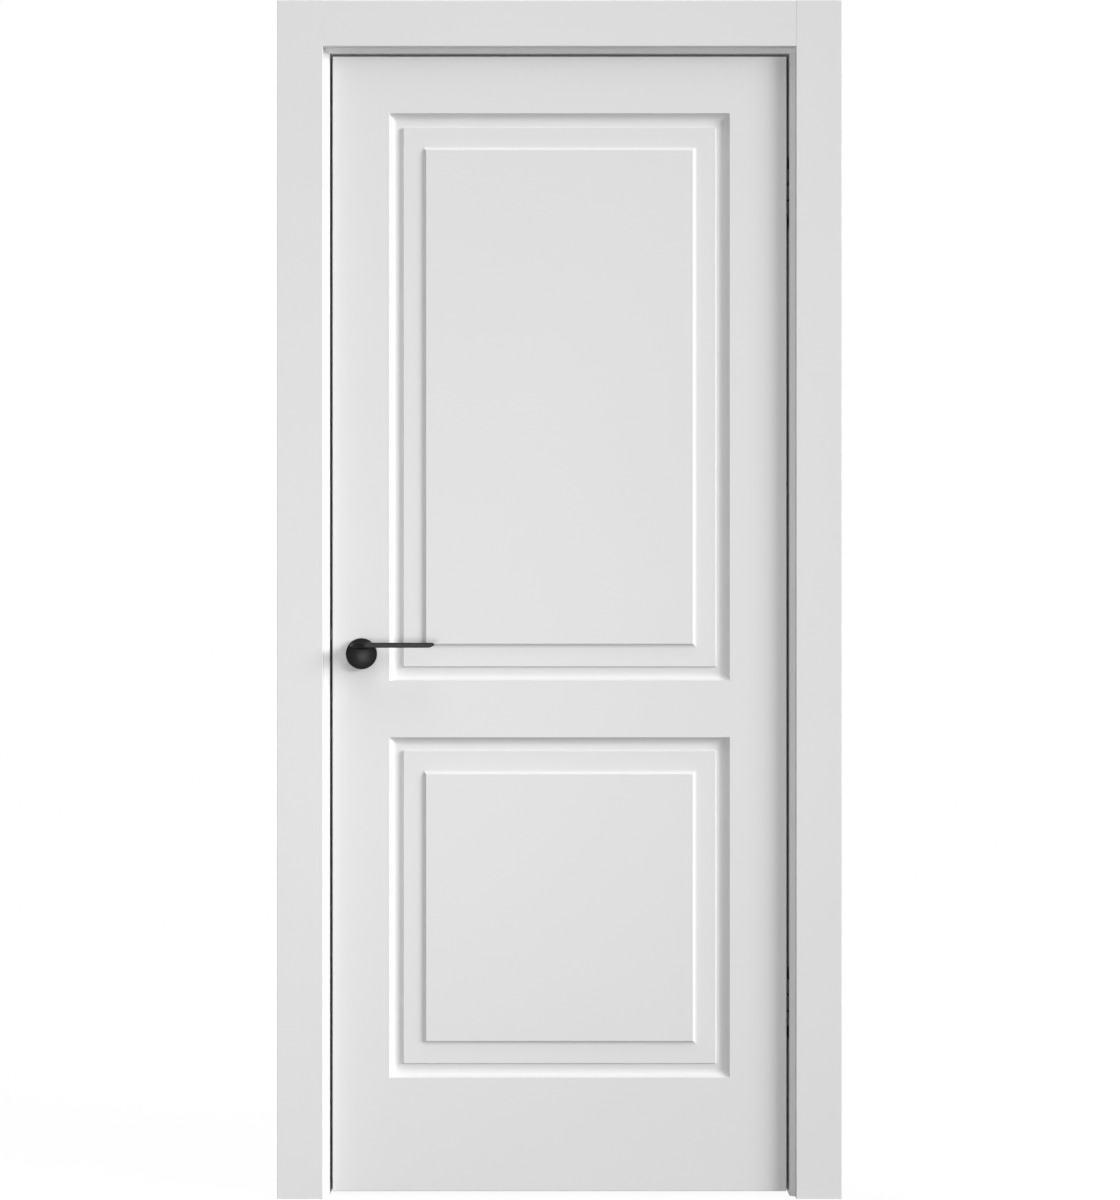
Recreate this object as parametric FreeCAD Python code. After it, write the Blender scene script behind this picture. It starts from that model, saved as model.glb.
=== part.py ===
"""Interior door set: a flush two-panel leaf in a rebated frame with flat casings.

Millimetres, +Z up. X runs to the viewer's right and Y away from the viewer.
The origin is at floor level on the outer face of the hinge jamb, in the plane of the wall's front face.
"""
import FreeCAD
import Part
import math
import os

V = FreeCAD.Vector

# Leaf
leaf_width = 800.0
leaf_height = 2000.0
facing_thickness = 13.0
middle_thickness = 14.0
leaf_arris = 1.0
closing_bevel = 1.0

# Gaps round the closed leaf
side_gap = 5.0
head_gap = 5.0
floor_gap = 8.0
stop_gap = 5.0
seal_clearance = 0.4

# Panels, the same on both faces
panel_margin = 100.0
lock_rail_width = 100.0
lower_panel_height = 600.0
bottom_rail_width = 200.0
routing_depth = 10.0
outer_cove_width = 13.5
groove_floor_width = 9.5
groove_step_width = 2.0
shelf_depth = 5.0
shelf_width = 32.5
inner_cove_width = 7.5

# Middle layer of the leaf
stile_width = 100.0
end_rail_width = 60.0
middle_rail_width = 220.0

# Frame
wall_thickness = 100.0
jamb_thickness = 40.0
stop_width = 15.0
leaf_setback = 6.0
front_slope_depth = 5.5
front_slope_run = 12.0
casing_reveal = 10.0
head_reveal = 8.0
casing_width = 80.0
casing_thickness = 16.0
casing_edge_radius = 1.0
casing_relief_width = 12.0
casing_relief_depth = 1.5

# Seal strips in the rebate
seal_width = 9.0
seal_side_offset = 1.0
seal_barb_width = 2.8
seal_barb_depth = 4.8
seal_groove_clearance = 0.1

# Concealed hinges
upper_hinge_below_head = 241.0
hinge_spacing = 1435.0
hinge_body_width = 28.0
hinge_body_depth = 32.0
hinge_wall = 2.0
hinge_end = 24.0
hinge_web = 4.0
arm_thickness = 5.0
arm_height = 24.0
arm_end = 2.0
arm_clearance = 0.3
arm_knuckle_radius = 4.0
arm_pin_radius = 2.0
pin_clearance = 0.05
arm_length = 37.0
arm_pivot_inset = 6.0
arm_pivot_offset = 2.0
jamb_arm_angle = 168.0
leaf_arm_angle = -16.0
mortise_clearance = 0.1

# Handle
handle_height = 955.5
handle_backset = 51.5
rose_radius = 26.0
rose_thickness = 5.0
hub_radius = 27.3
hub_thickness = 8.0
hub_crown = 3.0
hub_clearance = 0.4
sleeve_radius = 9.0
sleeve_room = 1.0
sleeve_into_leaf = 6.0
running_clearance = 0.05
spindle_side = 8.0
spindle_clearance = 0.1
follower_radius = 8.0
lever_lift = 15.8
lever_height = 8.7
lever_length = 130.8
lever_projection = 58.0
lever_depth = 18.0
lever_edge = 1.0
lever_tip_under = 12.5
lever_tip_over = 4.5
lever_nose_rise = 0.5
neck_outer_radius = 30.0
neck_inner_radius = 8.0
flare_above = 6.1
flare_below = 12.4
flare_tip_drop = 0.8
flare_reach = 10.0
flare_waist_reach = 4.5
flare_waist_share = 0.4
neck_inside_hub = 0.3
flare_inside_neck = 0.4

# Latch
latch_case_depth = 80.0
latch_case_height = 160.0
faceplate_width = 18.0
faceplate_height = 190.0
faceplate_thickness = 2.5
bolt_width = 10.0
bolt_height = 18.0
bolt_above_handle = 35.0
bolt_length = 24.0
bolt_clearance = 0.3
strike_width = 20.0
strike_height = 160.0
strike_thickness = 2.0
strike_pocket_depth = 14.0
strike_hole_clearance = 2.0

# Worked out from the sizes above
leaf_thickness = 2.0 * facing_thickness + middle_thickness
hinge_rebate_x = -jamb_thickness
leaf_right = hinge_rebate_x - side_gap
leaf_left = leaf_right - leaf_width
latch_rebate_x = leaf_left - side_gap
latch_outer_x = latch_rebate_x - jamb_thickness
leaf_front = leaf_setback
leaf_back = leaf_front + leaf_thickness
leaf_middle = leaf_front + leaf_thickness / 2.0
leaf_bottom = floor_gap
leaf_top = leaf_bottom + leaf_height
head_rebate_z = leaf_top + head_gap
stop_face = leaf_back + stop_gap
handle_x = leaf_left + handle_backset
hub_back = rose_thickness + hub_clearance
hub_face = hub_back + hub_thickness
hub_rim = hub_face - hub_crown
neck_half_width = math.sqrt(hub_radius ** 2 - (lever_lift + lever_height / 2.0) ** 2) - neck_inside_hub
flare_half_width = math.sqrt(hub_radius ** 2 - (lever_lift - flare_tip_drop) ** 2) - neck_inside_hub
upper_hinge_z = head_rebate_z - upper_hinge_below_head
hinge_heights = {"upper": upper_hinge_z, "lower": upper_hinge_z - hinge_spacing}
hinge_slot_height = arm_height + 2.0 * arm_clearance
hinge_slot_pitch = hinge_slot_height + hinge_web
hinge_body_height = 2.0 * hinge_slot_pitch + hinge_slot_height + 2.0 * hinge_end
bevel_slope = closing_bevel / leaf_thickness
frame_top = head_rebate_z + jamb_thickness
faceplate_front = leaf_left + closing_bevel
faceplate_back = faceplate_front + faceplate_thickness
seal_groove_width = seal_barb_width + 2.0 * seal_groove_clearance
seal_groove_near = seal_side_offset + (seal_width - seal_groove_width) / 2.0
seal_groove_far = seal_groove_near + seal_groove_width
seal_groove_bottom = stop_face + seal_barb_depth + seal_groove_clearance


def save(name, shape):
    """Write one named piece."""
    shape.exportStep("parts/" + name + ".step")


def box(x0, x1, y0, y1, z0, z1):
    """A block between two opposite corners."""
    return Part.makeBox(x1 - x0, y1 - y0, z1 - z0, V(x0, y0, z0))


def prism(points, direction):
    """A closed outline carried along a straight direction."""
    return Part.Face(Part.makePolygon(points + [points[0]])).extrude(direction)


def mirrored_to_back(shape):
    """The same piece on the other side of the leaf."""
    return shape.mirror(V(0, leaf_middle, 0), V(0, 1, 0))


def bevel_edges(shape, width, wanted):
    """Bevel the edges that the test picks out."""
    return shape.makeChamfer(width, [edge for edge in shape.Edges if wanted(edge)])


def fillet_edges(shape, radius, wanted):
    """Round the edges that the test picks out."""
    return shape.makeFillet(radius, [edge for edge in shape.Edges if wanted(edge)])


def runs_along(edge, name):
    """Whether an edge is straight along one axis."""
    box_of_edge = edge.BoundBox
    lengths = {"x": box_of_edge.XLength, "y": box_of_edge.YLength, "z": box_of_edge.ZLength}
    longest = max(lengths.values())
    return lengths[name] == longest and sum(lengths.values()) - longest < 0.001


# Routed panels: a cove down from the face, a step up to a shelf, and a second cove up to the field

def cove_arc(steep, level):
    """Three points of the arc that is level at one end and rises to the other."""
    run = steep[0] - level[0]
    rise = steep[1] - level[1]
    radius = (run * run + rise * rise) / (2.0 * rise)
    half_turn = math.asin(abs(run) / radius) / 2.0
    across = math.copysign(radius * math.sin(half_turn), run)
    return steep, (level[0] + across, level[1] + radius * (1.0 - math.cos(half_turn))), level


def routing_section(x, edge_z):
    """What the router takes away, cut across at x: from the panel's edge up towards its middle."""
    above = 1.0
    groove_start = outer_cove_width
    groove_end = groove_start + groove_floor_width
    shelf_start = groove_end + groove_step_width
    shelf_end = shelf_start + shelf_width
    field_edge = shelf_end + inner_cove_width

    def place(point):
        return V(x, leaf_front - point[1], edge_z + point[0])

    def line(start, end):
        return Part.makeLine(place(start), place(end))

    def arc(start, middle, end):
        return Part.Arc(place(start), place(middle), place(end)).toShape()

    outer = cove_arc((0.0, 0.0), (groove_start, -routing_depth))
    inner = cove_arc((field_edge, 0.0), (shelf_end, -shelf_depth))
    return Part.Wire([
        line((0.0, above), (0.0, 0.0)),
        arc(*outer),
        line((groove_start, -routing_depth), (groove_end, -routing_depth)),
        line((groove_end, -routing_depth), (shelf_start, -shelf_depth)),
        line((shelf_start, -shelf_depth), (shelf_end, -shelf_depth)),
        arc(*reversed(inner)),
        line((field_edge, 0.0), (field_edge, above)),
        line((field_edge, above), (0.0, above)),
    ])


def panel_routing(z0, z1):
    """The mitred ring that is routed round one panel of the front face."""
    x0 = leaf_left + panel_margin
    x1 = leaf_right - panel_margin
    middle = (x0 + x1) / 2.0
    path = Part.makePolygon([
        V(middle, leaf_front, z0),
        V(x1, leaf_front, z0),
        V(x1, leaf_front, z1),
        V(x0, leaf_front, z1),
        V(x0, leaf_front, z0),
        V(middle, leaf_front, z0),
    ])
    right_corners = 1
    return path.makePipeShell([routing_section(middle, z0)], True, False, right_corners)


# Leaf

def leaf_slab(y0, y1, z0, z1, x0=None, x1=None):
    """A flat board of the leaf; without x0 it runs to the bevelled closing edge."""
    right = leaf_right if x1 is None else x1
    near = leaf_left + bevel_slope * (y0 - leaf_front) if x0 is None else x0
    far = leaf_left + bevel_slope * (y1 - leaf_front) if x0 is None else x0
    outline = [V(near, y0, z0), V(right, y0, z0), V(right, y1, z0), V(far, y1, z0)]
    return prism(outline, V(0, 0, z1 - z0))


def stadium(x0, x1, width, height, middle_y, middle_z):
    """A round-ended block let into an edge, seen along X."""
    radius = width / 2.0
    straight = height / 2.0 - radius
    body = box(x0, x1, middle_y - radius, middle_y + radius, middle_z - straight, middle_z + straight)
    for end in (middle_z - straight, middle_z + straight):
        body = body.fuse(Part.makeCylinder(radius, x1 - x0, V(x0, middle_y, end), V(1, 0, 0)))
    return body.removeSplitter()


def hinge_mortise(x0, x1, height):
    """The pocket that a hinge body is let into."""
    grow = 2.0 * mortise_clearance
    return stadium(x0, x1, hinge_body_width + grow, hinge_body_height + grow, leaf_middle, height)


def latch_hollow():
    """The room for the latch case, its faceplate and the handle's sleeves in the leaf's boards."""
    past_edge = leaf_left - 1.0
    case = box(past_edge, faceplate_back + latch_case_depth,
               leaf_middle - middle_thickness / 2.0, leaf_middle + middle_thickness / 2.0,
               handle_height - latch_case_height / 2.0, handle_height + latch_case_height / 2.0)
    plate = stadium(past_edge, faceplate_back, faceplate_width + 2.0 * mortise_clearance,
                    faceplate_height + 2.0 * mortise_clearance, leaf_middle, handle_height)
    sleeves = Part.makeCylinder(sleeve_radius + sleeve_room, leaf_thickness + 2.0,
                                V(handle_x, leaf_front - 1.0, handle_height), V(0, 1, 0))
    return case.fuse(plate).fuse(sleeves)


def cut_leaf_fittings(board):
    """Take the hinge and latch mortises out of one board of the leaf."""
    board = board.cut(latch_hollow())
    for height in hinge_heights.values():
        board = board.cut(hinge_mortise(leaf_right - hinge_body_depth, leaf_right + 1.0, height))
    return board


def routed_rings():
    """The routing of both panels on the front face."""
    lower_bottom = leaf_bottom + bottom_rail_width
    lower_top = lower_bottom + lower_panel_height
    upper_bottom = lower_top + lock_rail_width
    upper_top = leaf_top - panel_margin
    return [panel_routing(lower_bottom, lower_top), panel_routing(upper_bottom, upper_top)]


def front_facing():
    """The front board with its eased edges and two routed panels."""
    board = leaf_slab(leaf_front, leaf_front + facing_thickness, leaf_bottom, leaf_top)
    board = bevel_edges(board, leaf_arris, lambda edge: edge.BoundBox.YMax < leaf_front + 0.001)
    for ring in routed_rings():
        board = board.cut(ring)
    return board


def back_facing():
    """The back board, the front one's mirror image but for the bevelled closing edge."""
    board = leaf_slab(leaf_back - facing_thickness, leaf_back, leaf_bottom, leaf_top)
    board = bevel_edges(board, leaf_arris, lambda edge: edge.BoundBox.YMin > leaf_back - 0.001)
    for ring in routed_rings():
        board = board.cut(mirrored_to_back(ring))
    return board


def build_leaf():
    """The boards of the leaf: two facings and a middle layer of stiles, rails and core board."""
    near = leaf_front + facing_thickness
    far = near + middle_thickness
    low_rail = leaf_bottom + end_rail_width
    high_rail = leaf_top - end_rail_width
    rail_low = handle_height - middle_rail_width / 2.0
    rail_high = handle_height + middle_rail_width / 2.0
    inner_left = leaf_left + stile_width
    inner_right = leaf_right - stile_width
    boards = {
        "latch_stile": leaf_slab(near, far, leaf_bottom, leaf_top, None, inner_left),
        "hinge_stile": leaf_slab(near, far, leaf_bottom, leaf_top, inner_right),
        "bottom_rail": leaf_slab(near, far, leaf_bottom, low_rail, inner_left, inner_right),
        "lower_core": leaf_slab(near, far, low_rail, rail_low, inner_left, inner_right),
        "middle_rail": leaf_slab(near, far, rail_low, rail_high, inner_left, inner_right),
        "upper_core": leaf_slab(near, far, rail_high, high_rail, inner_left, inner_right),
        "top_rail": leaf_slab(near, far, high_rail, leaf_top, inner_left, inner_right),
        "front_facing": front_facing(),
        "back_facing": back_facing(),
    }
    for name, board in boards.items():
        save(name, cut_leaf_fittings(board))


# Frame

def jamb_section():
    """The jamb cut across: inwards from the rebate face is negative, depth into the wall is positive."""
    run = front_slope_run
    slope = front_slope_depth
    return [
        (0.0, slope),
        (run, 0.0),
        (jamb_thickness, 0.0),
        (jamb_thickness, wall_thickness),
        (run - stop_width, wall_thickness),
        (-stop_width, wall_thickness - slope),
        (-stop_width, stop_face),
        (-seal_groove_far, stop_face),
        (-seal_groove_far, seal_groove_bottom),
        (-seal_groove_near, seal_groove_bottom),
        (-seal_groove_near, stop_face),
        (0.0, stop_face),
    ]


def seal_section():
    """The seal cut across: a rounded bulb on the stop and a barb in its groove."""
    near = seal_side_offset
    far = seal_side_offset + seal_width
    barb_near = seal_groove_near + seal_groove_clearance
    barb_far = seal_groove_far - seal_groove_clearance
    crown = leaf_back + seal_clearance
    shoulder = (crown + stop_face) / 2.0
    quarter = (far - near) / 4.0
    return [
        (-near, stop_face),
        (-near, shoulder),
        (-near - quarter, crown),
        (-far + quarter, crown),
        (-far, shoulder),
        (-far, stop_face),
        (-barb_far, stop_face),
        (-barb_far, stop_face + seal_barb_depth),
        (-barb_near, stop_face + seal_barb_depth),
        (-barb_near, stop_face),
    ]


def hinge_side_piece(section, z0, z1):
    """A section stood up on the hinge side, where the body of the jamb is on +X."""
    points = [V(hinge_rebate_x + out, depth, z0) for out, depth in section]
    return prism(points, V(0, 0, z1 - z0))


def latch_side_piece(section, z0, z1):
    """A section stood up on the latch side, where the body of the jamb is on -X."""
    points = [V(latch_rebate_x - out, depth, z0) for out, depth in section]
    return prism(points, V(0, 0, z1 - z0))


def head_piece(section, x0, x1):
    """A section laid across the head, where the body of the jamb is on +Z."""
    points = [V(x0, depth, head_rebate_z + out) for out, depth in section]
    return prism(points, V(x1 - x0, 0, 0))


def head_wedge():
    """The space above both mitres: it holds the head and nothing of the side jambs."""
    centre = (hinge_rebate_x + latch_rebate_x) / 2.0
    half = (hinge_rebate_x - latch_rebate_x) / 2.0
    rise = jamb_thickness + 1.0
    tip = [
        V(centre, -1.0, head_rebate_z - half),
        V(hinge_rebate_x + rise, -1.0, head_rebate_z + rise),
        V(latch_rebate_x - rise, -1.0, head_rebate_z + rise),
    ]
    return prism(tip, V(0, wall_thickness + 2.0, 0))


def build_frame():
    """The three jambs and their seals, mitred at the head."""
    wedge = head_wedge()
    past_top = frame_top + 1.0
    hinge_jamb = hinge_side_piece(jamb_section(), 0.0, frame_top).cut(wedge)
    mortise_end = hinge_rebate_x + hinge_body_depth
    for height in hinge_heights.values():
        hinge_jamb = hinge_jamb.cut(hinge_mortise(hinge_rebate_x - 1.0, mortise_end, height))
    latch_jamb = latch_side_piece(jamb_section(), 0.0, frame_top).cut(wedge).cut(strike_hollow())
    head_jamb = head_piece(jamb_section(), latch_outer_x, 0.0).common(wedge)
    save("hinge_jamb", hinge_jamb)
    save("latch_jamb", latch_jamb)
    save("head_jamb", head_jamb)
    save("hinge_jamb_seal", hinge_side_piece(seal_section(), 0.0, past_top).cut(wedge))
    save("latch_jamb_seal", latch_side_piece(seal_section(), 0.0, past_top).cut(wedge))
    save("head_jamb_seal", head_piece(seal_section(), latch_rebate_x, hinge_rebate_x).common(wedge))


def casing_board(x0, x1, z0, z1, y0, along):
    """A flat casing board with its two long front edges rounded."""
    board = box(x0, x1, y0, y0 + casing_thickness, z0, z1)

    def is_front_edge(edge):
        return runs_along(edge, along) and edge.BoundBox.YMax < y0 + 0.001

    return fillet_edges(board, casing_edge_radius, is_front_edge)


def casing_relief(place):
    """The shallow groove in a board's back that bridges the joint between jamb and wall."""
    half = casing_relief_width / 2.0
    past_top = frame_top + casing_width
    if place == "head":
        return box(latch_outer_x, 0.0, -casing_relief_depth, 1.0, frame_top - half, frame_top + half)
    jamb_back = 0.0 if place == "hinge_side" else latch_outer_x
    return box(jamb_back - half, jamb_back + half, -casing_relief_depth, 1.0, -1.0, past_top)


def mirrored_through_wall(shape):
    """The same piece on the wall's other face."""
    return shape.mirror(V(0, wall_thickness / 2.0, 0), V(0, 1, 0))


def build_casings():
    """Three flat boards round the opening on each face of the wall; the head fits between the sides."""
    inset = {"front": 0.0, "back": stop_width}
    for face, inwards in inset.items():
        hinge_edge = hinge_rebate_x + casing_reveal - inwards
        latch_edge = latch_rebate_x - casing_reveal + inwards
        head_edge = head_rebate_z + head_reveal - inwards
        top = head_edge + casing_width
        front = -casing_thickness
        boards = {
            "hinge_side": casing_board(hinge_edge, hinge_edge + casing_width, 0.0, top, front, "z"),
            "latch_side": casing_board(latch_edge - casing_width, latch_edge, 0.0, top, front, "z"),
            "head": casing_board(latch_edge, hinge_edge, head_edge, top, front, "x"),
        }
        for place, board in boards.items():
            board = board.cut(casing_relief(place))
            if face == "back":
                board = mirrored_through_wall(board)
            save(face + "_casing_" + place, board)


# Concealed hinges

def hinge_slots(x0, x1, height):
    """The three slots of a hinge body, one above another."""
    half = hinge_body_width / 2.0 - hinge_wall
    slots = []
    for level in (-1, 0, 1):
        centre = height + level * hinge_slot_pitch
        low = centre - hinge_slot_height / 2.0
        slots.append(box(x0, x1, leaf_middle - half, leaf_middle + half, low, low + hinge_slot_height))
    return slots


def hinge_body(edge_x, inwards, height, pivot, levels):
    """A hinge body let into an edge, with its slots and the pins that carry its own arms."""
    deep_x = edge_x + inwards * hinge_body_depth
    back_x = deep_x - inwards * hinge_wall
    mouth_x = edge_x - inwards * 1.0
    body = stadium(min(edge_x, deep_x), max(edge_x, deep_x), hinge_body_width, hinge_body_height,
                   leaf_middle, height)
    for slot in hinge_slots(min(mouth_x, back_x), max(mouth_x, back_x), height):
        body = body.cut(slot)
    for level in levels:
        centre = height + level * hinge_slot_pitch
        low = centre - hinge_slot_height / 2.0 - hinge_web / 4.0
        body = body.fuse(Part.makeCylinder(arm_pin_radius, hinge_slot_height + hinge_web / 2.0,
                                           V(pivot.x, pivot.y, low)))
    return body


def hinge_arm(pivot, angle, centre):
    """A flat arm with a knuckle round its pin and a bevelled free end."""
    low = centre - arm_height / 2.0
    half = arm_thickness / 2.0
    arm = prism([
        V(0, -half, 0),
        V(arm_length, -half, 0),
        V(arm_length + half, -arm_end / 2.0, 0),
        V(arm_length + half, arm_end / 2.0, 0),
        V(arm_length, half, 0),
        V(0, half, 0),
    ], V(0, 0, arm_height))
    arm = arm.fuse(Part.makeCylinder(arm_knuckle_radius, arm_height))
    arm = arm.cut(Part.makeCylinder(arm_pin_radius + pin_clearance, arm_height))
    arm = arm.removeSplitter()
    arm.rotate(V(0, 0, 0), V(0, 0, 1), angle)
    arm.translate(V(pivot.x, pivot.y, low))
    return arm


def build_hinges():
    """Two concealed hinges: outer arms pinned in the jamb, a middle arm pinned in the leaf."""
    jamb_pivot = V(hinge_rebate_x + arm_pivot_inset, leaf_middle - arm_pivot_offset, 0)
    leaf_pivot = V(leaf_right - arm_pivot_inset, leaf_middle + arm_pivot_offset, 0)
    for place, height in hinge_heights.items():
        save(place + "_hinge_jamb_body", hinge_body(hinge_rebate_x, 1.0, height, jamb_pivot, (-1, 1)))
        save(place + "_hinge_leaf_body", hinge_body(leaf_right, -1.0, height, leaf_pivot, (0,)))
        levels = [height - hinge_slot_pitch, height + hinge_slot_pitch]
        outer = [hinge_arm(jamb_pivot, jamb_arm_angle, level) for level in levels]
        save(place + "_hinge_jamb_arms", Part.makeCompound(outer))
        save(place + "_hinge_leaf_arm", hinge_arm(leaf_pivot, leaf_arm_angle, height))


# Latch

def strike_hollow():
    """The plate's recess in the latch jamb and the pocket behind its hole."""
    recess_x = latch_rebate_x - strike_thickness
    plate = box(recess_x, latch_rebate_x + 1.0,
                leaf_middle - strike_width / 2.0, leaf_middle + strike_width / 2.0,
                handle_height - strike_height / 2.0, handle_height + strike_height / 2.0)
    return plate.fuse(bolt_room(recess_x - strike_pocket_depth, latch_rebate_x + 1.0))


def bolt_room(x0, x1):
    """The hole that the latch bolt goes into."""
    half_width = bolt_width / 2.0 + strike_hole_clearance
    half_height = bolt_height / 2.0 + strike_hole_clearance
    height = handle_height + bolt_above_handle
    return box(x0, x1, leaf_middle - half_width, leaf_middle + half_width,
               height - half_height, height + half_height)


def build_latch():
    """The latch case in the leaf's edge, its faceplate and bolt, and the strike plate in the jamb."""
    case = box(faceplate_back, faceplate_back + latch_case_depth,
               leaf_middle - middle_thickness / 2.0, leaf_middle + middle_thickness / 2.0,
               handle_height - latch_case_height / 2.0, handle_height + latch_case_height / 2.0)
    bore = Part.makeCylinder(follower_radius + running_clearance, leaf_thickness,
                             V(handle_x, leaf_front, handle_height), V(0, 1, 0))
    bolt_height_z = handle_height + bolt_above_handle
    half_width = bolt_width / 2.0
    half_height = bolt_height / 2.0
    bolt = box(faceplate_front, faceplate_front + bolt_length,
               leaf_middle - half_width, leaf_middle + half_width,
               bolt_height_z - half_height, bolt_height_z + half_height)
    room_width = half_width + bolt_clearance
    room_height = half_height + bolt_clearance
    bolt_hole = box(faceplate_front - 1.0, faceplate_front + bolt_length,
                    leaf_middle - room_width, leaf_middle + room_width,
                    bolt_height_z - room_height, bolt_height_z + room_height)
    plate = stadium(faceplate_front, faceplate_back, faceplate_width, faceplate_height,
                    leaf_middle, handle_height)
    save("latch_case", case.cut(bore).cut(bolt_hole))
    save("latch_faceplate", plate.cut(bolt_hole))
    save("latch_bolt", bolt)
    strike = box(latch_rebate_x - strike_thickness, latch_rebate_x,
                 leaf_middle - strike_width / 2.0, leaf_middle + strike_width / 2.0,
                 handle_height - strike_height / 2.0, handle_height + strike_height / 2.0)
    save("strike_plate", strike.cut(bolt_room(latch_rebate_x - strike_thickness - 1.0, latch_rebate_x + 1.0)))


# Handle

def handle_point(along, out, height):
    """A point given from the handle's axis: along the lever, out from the leaf, and above the axis."""
    return V(handle_x + along, leaf_front - out, handle_height + height)


def turned(profile):
    """A round piece turned about the handle's axis from (radius, distance in front of the leaf) points."""
    points = [handle_point(radius, out, 0) for radius, out in profile]
    face = Part.Face(Part.makePolygon(points + [points[0]]))
    return face.revolve(handle_point(0, 0, 0), V(0, 1, 0), 360)


def rose():
    """The fixed ring that the hub turns on."""
    bore = sleeve_radius + running_clearance
    return turned([(bore, 0.0), (rose_radius, 0.0), (rose_radius, rose_thickness), (bore, rose_thickness)])


def hub():
    """The turning disc: a slightly domed face and a sleeve that runs in the rose."""
    square = spindle_side / 2.0 + spindle_clearance
    dome_radius = (hub_radius ** 2 + hub_crown ** 2) / (2.0 * hub_crown)
    dome = Part.makeSphere(dome_radius, handle_point(0, hub_face - dome_radius, 0))
    disc = Part.makeCylinder(hub_radius, hub_thickness, handle_point(0, hub_back, 0), V(0, -1, 0))
    sleeve = Part.makeCylinder(sleeve_radius, hub_back + sleeve_into_leaf,
                               handle_point(0, -sleeve_into_leaf, 0), V(0, -1, 0))
    socket = box(handle_x - square, handle_x + square, leaf_front - hub_rim, leaf_middle,
                 handle_height - square, handle_height + square)
    return disc.common(dome).fuse(sleeve).cut(socket)


def lever_bar():
    """The flat bar seen from above: the neck stands on the hub and bends into the grip."""
    low = lever_lift - lever_height / 2.0
    root = (hub_back + hub_rim) / 2.0
    back = lever_projection - lever_depth
    outline = [
        handle_point(-neck_half_width, root, low),
        handle_point(-neck_half_width, lever_projection, low),
        handle_point(lever_length, lever_projection, low),
        handle_point(lever_length, back, low),
        handle_point(neck_half_width, back, low),
        handle_point(neck_half_width, root, low),
    ]
    bar = prism(outline, V(0, 0, lever_height))
    corners = (
        (neck_outer_radius, -neck_half_width, lever_projection),
        (neck_inner_radius, neck_half_width, back),
    )
    for radius, along, out in corners:
        corner = handle_point(along, out, lever_lift)
        bar = fillet_edges(bar, radius, lambda edge: edge.BoundBox.Center.distanceToPoint(corner) < 0.01)
    return bar


def is_long_lever_edge(edge):
    """Whether an edge runs round the bar's top or underside, away from its root and tip."""
    span = edge.BoundBox
    at_root = span.YMin > leaf_front - lever_projection + lever_depth and span.XLength > lever_height
    at_tip = span.XMin > handle_x + lever_length - 0.01
    return span.ZLength < 0.01 and not at_root and not at_tip


def lever_tip_outline():
    """What is kept of the bar, seen from the front: a nose rounded more below than above."""
    low = lever_lift - lever_height / 2.0
    high = lever_lift + lever_height / 2.0
    nose = (lever_length, lever_lift + lever_nose_rise)
    under_start = (lever_length - lever_tip_under, low)
    over_end = (lever_length - lever_tip_over, high)
    past_root = -neck_half_width - 1.0

    def place(point):
        return handle_point(point[0], lever_projection + 1.0, point[1])

    def line(start, end):
        return Part.makeLine(place(start), place(end))

    def arc(points):
        return Part.Arc(*[place(point) for point in points]).toShape()

    return Part.Wire([
        line((past_root, low), under_start),
        arc(reversed(cove_arc(nose, under_start))),
        arc(cove_arc(nose, over_end)),
        line(over_end, (past_root, high)),
        line((past_root, high), (past_root, low)),
    ])


def flare_section(out, share):
    """A pointed oval round the neck: the whole flare at share 1, the bare neck at share 0."""
    def between(neck, flare):
        return neck + share * (flare - neck)

    half = lever_height / 2.0 - flare_inside_neck
    width = between(neck_half_width - flare_inside_neck, flare_half_width)
    middle = lever_lift - share * flare_tip_drop
    left = handle_point(-width, out, middle)
    right = handle_point(width, out, middle)
    top = handle_point(0, out, lever_lift + between(half, flare_above))
    bottom = handle_point(0, out, lever_lift - between(half, flare_below))
    return Part.Wire([Part.Arc(left, top, right).toShape(), Part.Arc(right, bottom, left).toShape()])


def lever():
    """The bar with its eased edges and rounded tip, and the flare that joins its neck to the hub."""
    bar = bevel_edges(lever_bar(), lever_edge, is_long_lever_edge)
    kept = Part.Face(lever_tip_outline()).extrude(V(0, lever_projection, 0))
    flare = Part.makeLoft([
        flare_section(hub_rim, 1.0),
        flare_section(hub_rim + flare_waist_reach, flare_waist_share),
        flare_section(hub_rim + flare_reach, 0.0),
    ], True, True)
    return bar.common(kept).fuse(flare)


def build_handle():
    """Both roses, hubs and levers on one spindle."""
    hub_disc = hub()
    lever_piece = lever().cut(hub_disc)
    save("front_rose", rose())
    save("back_rose", mirrored_to_back(rose()))
    save("front_lever_hub", hub_disc)
    save("back_lever_hub", mirrored_to_back(hub_disc))
    save("front_lever", lever_piece)
    save("back_lever", mirrored_to_back(lever_piece))
    reach = hub_rim - spindle_clearance
    half = spindle_side / 2.0
    shaft = box(handle_x - half, handle_x + half, leaf_front - reach, leaf_back + reach,
                handle_height - half, handle_height + half)
    follower = Part.makeCylinder(follower_radius, middle_thickness,
                                 V(handle_x, leaf_middle - middle_thickness / 2.0, handle_height), V(0, 1, 0))
    save("spindle", shaft.fuse(follower))


def main():
    """Write every piece of the door."""
    os.makedirs("parts", exist_ok=True)
    build_frame()
    build_casings()
    build_leaf()
    build_hinges()
    build_latch()
    build_handle()


main()
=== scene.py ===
"""Looks of a white two-panel interior door: its finishes, rounded handles, screws and a plain studio."""

import math

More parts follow.
